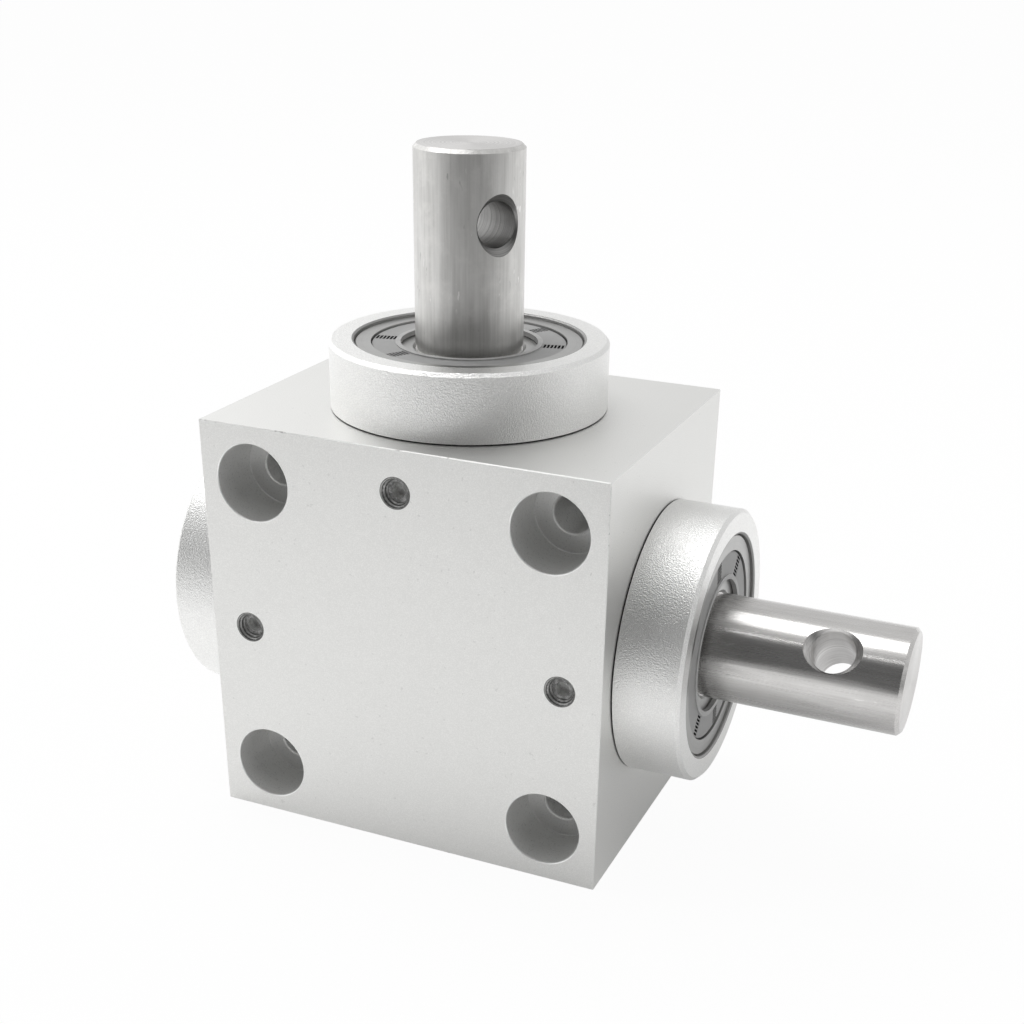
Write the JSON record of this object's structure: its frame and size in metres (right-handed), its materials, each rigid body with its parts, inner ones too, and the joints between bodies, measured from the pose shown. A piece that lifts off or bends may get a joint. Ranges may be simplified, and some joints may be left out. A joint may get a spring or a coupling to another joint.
{
  "type": "right angle gearbox",
  "caption": "Right angle gearbox in a squared block: mitre gears join a top shaft to a right shaft, both with cross holes, in collared sealed bearings, with counterbored bolt holes.",
  "frame": {"origin": "the point where the two shaft axes cross, which is the centre of the block", "axes": "+X along the through shaft, out of its free end; +Z along the branch shaft, out of its free end; -Y is the face with the counterbored holes"},
  "size_m": [0.1055, 0.046, 0.095],
  "materials": {
    "block": "fine bead blast, clear anodised",
    "carrier": "coarser bead blast, clear anodised",
    "shaft": "turned and ground",
    "bearing_ring": "ground and lapped bearing steel",
    "ball": "polished bearing steel",
    "cage": "pressed sheet steel",
    "seal": "matte moulded rubber",
    "gear": "cut alloy steel, lightly oiled",
    "dark_screw": "blackened steel",
    "plain_steel": "plain ground steel",
    "spring_steel": "phosphated spring steel"
  },
  "bodies": {
    "housing": {"housing_block": "block", "top_carrier": "carrier", "top_grub_screw": "dark_screw", "right_carrier": "carrier", "right_grub_screw": "dark_screw", "left_carrier": "carrier", "left_grub_screw": "dark_screw", "top_outer_bearing_outer_ring": "bearing_ring", "top_outer_bearing_front_seal": "seal", "top_outer_bearing_back_seal": "seal", "top_inner_bearing_outer_ring": "bearing_ring", "top_inner_bearing_front_seal": "seal", "top_inner_bearing_back_seal": "seal", "right_bearing_outer_ring": "bearing_ring", "right_bearing_front_seal": "seal", "right_bearing_back_seal": "seal", "left_bearing_outer_ring": "bearing_ring", "left_bearing_front_seal": "seal", "left_bearing_back_seal": "seal"},
    "through_shaft_group": {"through_shaft": "shaft", "through_gear": "gear", "through_gear_key": "plain_steel", "through_gear_grub_screw": "dark_screw", "through_shaft_spacer": "plain_steel", "through_shaft_snap_ring": "spring_steel", "right_bearing_inner_ring": "bearing_ring", "left_bearing_inner_ring": "bearing_ring"},
    "branch_shaft_group": {"branch_shaft": "shaft", "branch_gear": "gear", "branch_gear_key": "plain_steel", "branch_gear_washer": "plain_steel", "branch_gear_screw": "dark_screw", "branch_shaft_snap_ring": "spring_steel", "top_outer_bearing_inner_ring": "bearing_ring", "top_inner_bearing_inner_ring": "bearing_ring"},
    "top_outer_bearing_cage_group": {"top_outer_bearing_cage": "cage", "top_outer_bearing_balls": "ball"},
    "top_inner_bearing_cage_group": {"top_inner_bearing_cage": "cage", "top_inner_bearing_balls": "ball"},
    "right_bearing_cage_group": {"right_bearing_cage": "cage", "right_bearing_balls": "ball"},
    "left_bearing_cage_group": {"left_bearing_cage": "cage", "left_bearing_balls": "ball"}
  },
  "joints": [
    {"name": "through_shaft_turn", "type": "hinge", "parent": "housing", "child": "through_shaft_group", "pos_m": [0, 0, 0], "axis": [1, 0, 0], "continuous": true},
    {"name": "branch_shaft_turn", "type": "hinge", "parent": "housing", "child": "branch_shaft_group", "pos_m": [0, 0, 0], "axis": [0, 0, 1], "continuous": true},
    {"name": "top_outer_bearing_cage_turn", "type": "hinge", "parent": "housing", "child": "top_outer_bearing_cage_group", "pos_m": [0, 0, 0], "axis": [0, 0, 1], "continuous": true},
    {"name": "top_inner_bearing_cage_turn", "type": "hinge", "parent": "housing", "child": "top_inner_bearing_cage_group", "pos_m": [0, 0, 0], "axis": [0, 0, 1], "continuous": true},
    {"name": "right_bearing_cage_turn", "type": "hinge", "parent": "housing", "child": "right_bearing_cage_group", "pos_m": [0, 0, 0], "axis": [1, 0, 0], "continuous": true},
    {"name": "left_bearing_cage_turn", "type": "hinge", "parent": "housing", "child": "left_bearing_cage_group", "pos_m": [0, 0, 0], "axis": [1, 0, 0], "continuous": true}
  ],
  "couplings": [
    {"joint": "branch_shaft_turn", "follows": "through_shaft_turn", "ratio": -1},
    {"joint": "top_outer_bearing_cage_turn", "follows": "through_shaft_turn", "ratio": -0.39872},
    {"joint": "top_inner_bearing_cage_turn", "follows": "through_shaft_turn", "ratio": -0.39872},
    {"joint": "right_bearing_cage_turn", "follows": "through_shaft_turn", "ratio": 0.39872},
    {"joint": "left_bearing_cage_turn", "follows": "through_shaft_turn", "ratio": 0.39872}
  ]
}
